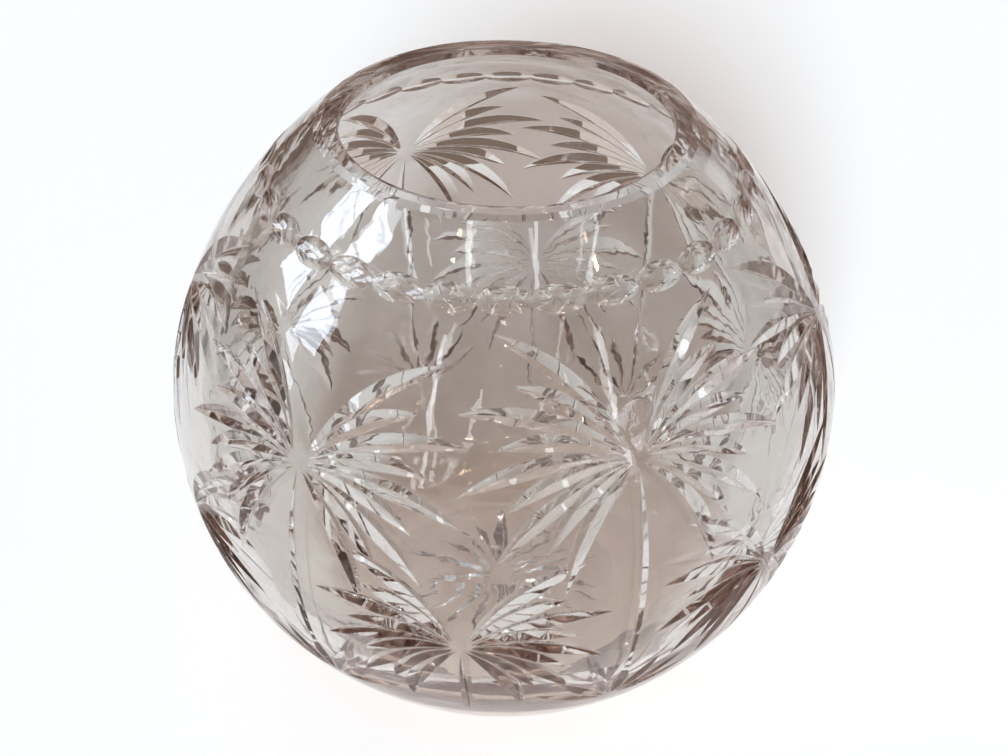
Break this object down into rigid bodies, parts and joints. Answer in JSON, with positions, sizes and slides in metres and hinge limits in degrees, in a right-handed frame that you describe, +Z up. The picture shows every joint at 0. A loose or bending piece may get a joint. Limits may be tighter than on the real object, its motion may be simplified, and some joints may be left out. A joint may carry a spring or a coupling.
{
  "type": "rose bowl vase",
  "caption": "Round clear cut-glass rose bowl with a narrow open mouth, thick wall and ringed foot, cut with crowns of drooping leaves and a band of ovals.",
  "frame": {"origin": "centre of the foot ring, on the plane that it stands on", "axes": "+Z up along the bowl's axis, -Y towards the pictured front, +X to its right"},
  "size_m": [0.2, 0.2, 0.1755],
  "materials": {
    "clear_crystal": "polished lead crystal with wheel-cut facets",
    "clear_film": "clear gloss film"
  },
  "bodies": {
    "root": {"crystal_bowl": "clear_crystal", "clear_label": "clear_film"}
  },
  "joints": []
}
